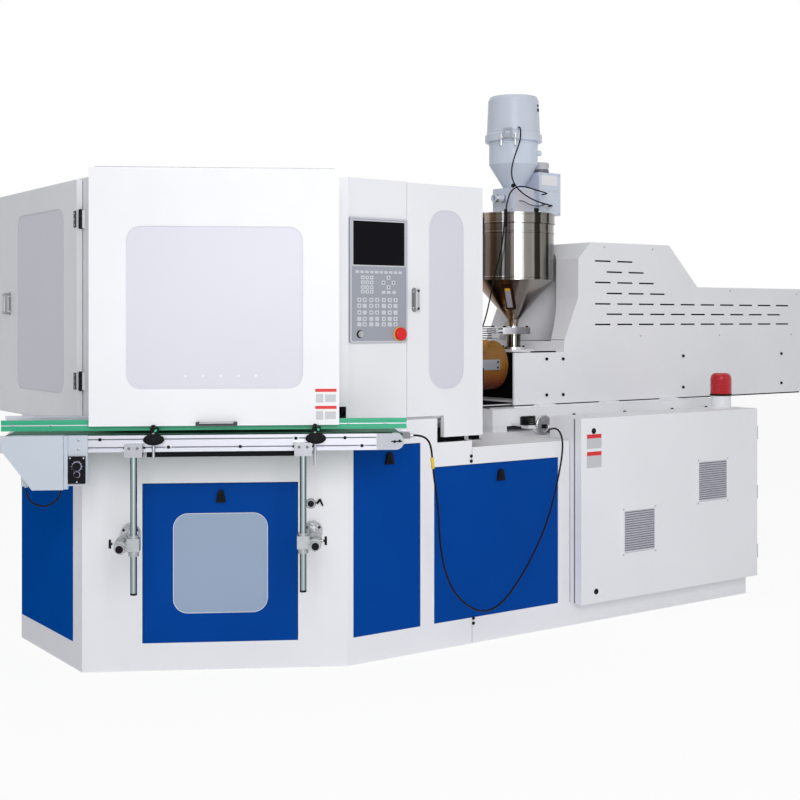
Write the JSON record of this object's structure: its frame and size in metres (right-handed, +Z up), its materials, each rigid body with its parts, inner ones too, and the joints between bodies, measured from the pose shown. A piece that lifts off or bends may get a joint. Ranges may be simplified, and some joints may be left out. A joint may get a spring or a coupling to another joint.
{
  "type": "injection blow moulding machine",
  "caption": "Injection blow moulding machine with an enclosed turret, take-off conveyor, hopper with vacuum loader, horizontal injection unit and electrical cabinet.",
  "frame": {"origin": "the turret's index axis at floor level", "axes": "+Z up, +X towards the injection unit, -Y the operator side; the slanted take-off face looks to -X -Y"},
  "size_m": [5.44, 2.3379, 2.857],
  "materials": {
    "white_paint": "fine textured powder coat, white",
    "blue_paint": "satin powder coat, blue",
    "frosted_sheet": "frosted",
    "black_plastic": "matt",
    "bezel_grey": "satin",
    "screen_glass": "gloss",
    "red_button": "gloss",
    "switch_steel": "satin",
    "aluminium_profile": "anodised",
    "guide_green": "satin",
    "belt_rubber": "matt",
    "bright_steel": "ground",
    "mould_steel": "ground",
    "stainless": "polished",
    "amber_paint": "gloss",
    "loader_paint": "satin",
    "red_lens": "gloss",
    "tank_paint": "satin",
    "cable_jacket": "satin"
  },
  "bodies": {
    "machine": {"turret_base": "white_paint", "injection_base": "white_paint", "enclosure_frame": "white_paint", "cabinet_body": "white_paint", "beacon_dome": "red_lens", "operator_panel": "bezel_grey", "operator_screen": "screen_glass", "injection_bed": "white_paint", "press_frames": "mould_steel", "power_pack": "tank_paint", "conveyor_brackets": "bright_steel", "conveyor_cable": "cable_jacket"},
    "front_door": {"front_door": "white_paint", "front_door_window": "frosted_sheet"},
    "left_door": {"left_door": "white_paint", "left_door_window": "frosted_sheet"},
    "right_door": {"right_door": "white_paint", "right_door_window": "frosted_sheet"},
    "front_panel": {"front_panel": "blue_paint", "front_panel_window": "frosted_sheet"},
    "narrow_panel": {"narrow_panel": "blue_paint"},
    "wide_panel": {"wide_panel": "blue_paint"},
    "left_panel": {"left_panel": "blue_paint"},
    "front_panel_latch": {"front_panel_latch": "black_plastic"},
    "narrow_panel_latch": {"narrow_panel_latch": "black_plastic"},
    "wide_panel_latch": {"wide_panel_latch": "black_plastic"},
    "cabinet_door": {"cabinet_door": "white_paint"},
    "upper_lock": {"upper_lock": "switch_steel"},
    "estop_button": {"estop_button": "red_button"},
    "key_switch": {"key_switch": "switch_steel"},
    "conveyor": {"conveyor_frame": "aluminium_profile", "conveyor_belt": "belt_rubber", "conveyor_posts": "bright_steel", "drive_cover": "white_paint", "speed_control": "black_plastic", "drive_cable": "cable_jacket"},
    "drive_roller": {"drive_roller": "bright_steel"},
    "idler_roller": {"idler_roller": "bright_steel"},
    "speed_knob": {"speed_knob": "black_plastic"},
    "switch_knob": {"switch_knob": "black_plastic"},
    "front_guide_rail": {"front_guide_rail": "guide_green"},
    "carriage": {"barrel": "bright_steel", "barrel_cover": "amber_paint", "injection_housing": "white_paint", "drive_hood": "white_paint", "hopper": "stainless", "loader_receiver": "loader_paint", "loader_cap": "loader_paint", "loader_control_box": "loader_paint", "loader_power_cable": "cable_jacket", "loader_valve_cable": "cable_jacket", "loader_sensor_cable": "cable_jacket"},
    "crosshead": {"drive_motor": "tank_paint"},
    "screw": {"screw": "bright_steel"},
    "slide_gate": {"slide_gate": "bright_steel"},
    "loader_latch": {"loader_latch": "bright_steel"},
    "upper_moulds": {"upper_moulds": "mould_steel"},
    "turret_lift": {"turret_spindle": "bright_steel"},
    "turret": {"index_head": "bright_steel"},
    "stripper_comb": {"stripper_comb": "bright_steel"}
  },
  "joints": [
    {"name": "front_door_lift", "type": "hinge", "parent": "machine", "child": "front_door", "pos_m": [-0.53921, -0.95019, 2.189], "axis": [-0.866, 0.5, 0], "range_deg": [0, 80]},
    {"name": "left_door_swing", "type": "hinge", "parent": "machine", "child": "left_door", "pos_m": [-0.86, -0.264, 1.6], "axis": [0, 0, 1], "range_deg": [0, 75]},
    {"name": "right_door_swing", "type": "hinge", "parent": "machine", "child": "right_door", "pos_m": [0.893, -0.961, 1.6], "axis": [0, 0, 1], "range_deg": [0, 100]},
    {"name": "front_panel_lean", "type": "hinge", "parent": "machine", "child": "front_panel", "pos_m": [-0.37992, -0.69229, 0.122], "axis": [0.866, -0.5, 0], "range_deg": [0, 10]},
    {"name": "narrow_panel_lean", "type": "hinge", "parent": "machine", "child": "narrow_panel", "pos_m": [0.326, -0.975, 0.123], "axis": [1, 0, 0], "range_deg": [0, 10]},
    {"name": "wide_panel_lean", "type": "hinge", "parent": "machine", "child": "wide_panel", "pos_m": [0.982, -0.975, 0.124], "axis": [1, 0, 0], "range_deg": [0, 6]},
    {"name": "left_panel_lean", "type": "hinge", "parent": "machine", "child": "left_panel", "pos_m": [-0.903, 0.053, 0.115], "axis": [0, -1, 0], "range_deg": [0, 10]},
    {"name": "front_latch_turn", "type": "hinge", "parent": "front_panel", "child": "front_panel_latch", "pos_m": [-0.37905, -0.69279, 0.769], "axis": [-0.5, -0.866, 0], "range_deg": [0, 90]},
    {"name": "narrow_latch_turn", "type": "hinge", "parent": "narrow_panel", "child": "narrow_panel_latch", "pos_m": [0.332, -0.975, 0.918], "axis": [0, -1, 0], "range_deg": [0, 90]},
    {"name": "wide_latch_turn", "type": "hinge", "parent": "wide_panel", "child": "wide_panel_latch", "pos_m": [0.993, -0.975, 0.798], "axis": [0, -1, 0], "range_deg": [0, 90]},
    {"name": "cabinet_door_swing", "type": "hinge", "parent": "machine", "child": "cabinet_door", "pos_m": [2.809, -1.046, 0.583], "axis": [0, 0, 1], "range_deg": [0, 110]},
    {"name": "upper_lock_turn", "type": "hinge", "parent": "cabinet_door", "child": "upper_lock", "pos_m": [1.538, -1.055, 0.988], "axis": [0, -1, 0], "range_deg": [0, 90]},
    {"name": "estop_press", "type": "slide", "parent": "machine", "child": "estop_button", "axis": [0, 1, 0], "range_m": [0, 0.006], "stiffness_N_per_m": 1500},
    {"name": "key_switch_turn", "type": "hinge", "parent": "machine", "child": "key_switch", "pos_m": [0.167, -0.987, 1.486], "axis": [0, -1, 0], "range_deg": [0, 90]},
    {"name": "conveyor_height", "type": "slide", "parent": "machine", "child": "conveyor", "axis": [0, 0, 1], "range_m": [-0.08, 0]},
    {"name": "drive_roller_turn", "type": "hinge", "parent": "conveyor", "child": "drive_roller", "pos_m": [-1.20384, -0.40135, 1.035], "axis": [0.5, 0.866, 0], "continuous": true},
    {"name": "idler_roller_turn", "type": "hinge", "parent": "conveyor", "child": "idler_roller", "pos_m": [0.19133, -1.20685, 1.035], "axis": [0.5, 0.866, 0], "continuous": true},
    {"name": "speed_knob_turn", "type": "hinge", "parent": "conveyor", "child": "speed_knob", "pos_m": [-1.04788, -0.69924, 0.944], "axis": [-0.5, -0.866, 0], "range_deg": [0, 270]},
    {"name": "switch_knob_turn", "type": "hinge", "parent": "conveyor", "child": "switch_knob", "pos_m": [-1.04788, -0.69924, 0.91], "axis": [-0.5, -0.866, 0], "range_deg": [0, 90]},
    {"name": "front_rail_width", "type": "slide", "parent": "conveyor", "child": "front_guide_rail", "axis": [0.5, 0.866, 0], "range_m": [0, 0.04]},
    {"name": "carriage_slide", "type": "slide", "parent": "machine", "child": "carriage", "axis": [1, 0, 0], "range_m": [0, 0.25]},
    {"name": "injection_stroke", "type": "slide", "parent": "carriage", "child": "crosshead", "axis": [1, 0, 0], "range_m": [0, 0.15]},
    {"name": "screw_turn", "type": "hinge", "parent": "crosshead", "child": "screw", "pos_m": [2.3, 0, 1.29], "axis": [1, 0, 0], "continuous": true},
    {"name": "gate_slide", "type": "slide", "parent": "carriage", "child": "slide_gate", "axis": [-1, 0, 0], "range_m": [0, 0.05]},
    {"name": "loader_latch_turn", "type": "hinge", "parent": "carriage", "child": "loader_latch", "pos_m": [1.76098, -0.12084, 2.604], "axis": [0.6428, -0.766, 0], "range_deg": [0, 100]},
    {"name": "press_stroke", "type": "slide", "parent": "machine", "child": "upper_moulds", "axis": [0, 0, 1], "range_m": [-0.1195, 0]},
    {"name": "turret_lift", "type": "slide", "parent": "machine", "child": "turret_lift", "axis": [0, 0, 1], "range_m": [-0.06, 0]},
    {"name": "turret_index", "type": "hinge", "parent": "turret_lift", "child": "turret", "pos_m": [0, 0, 1.42], "axis": [0, 0, 1], "range_deg": [0, 360]},
    {"name": "stripper_stroke", "type": "slide", "parent": "machine", "child": "stripper_comb", "axis": [0.5, 0.866, 0], "range_m": [0, 0.2]}
  ],
  "couplings": [
    {"joint": "idler_roller_turn", "follows": "drive_roller_turn", "ratio": 1},
    {"joint": "turret_lift", "follows": "press_stroke", "ratio": 0.5}
  ]
}
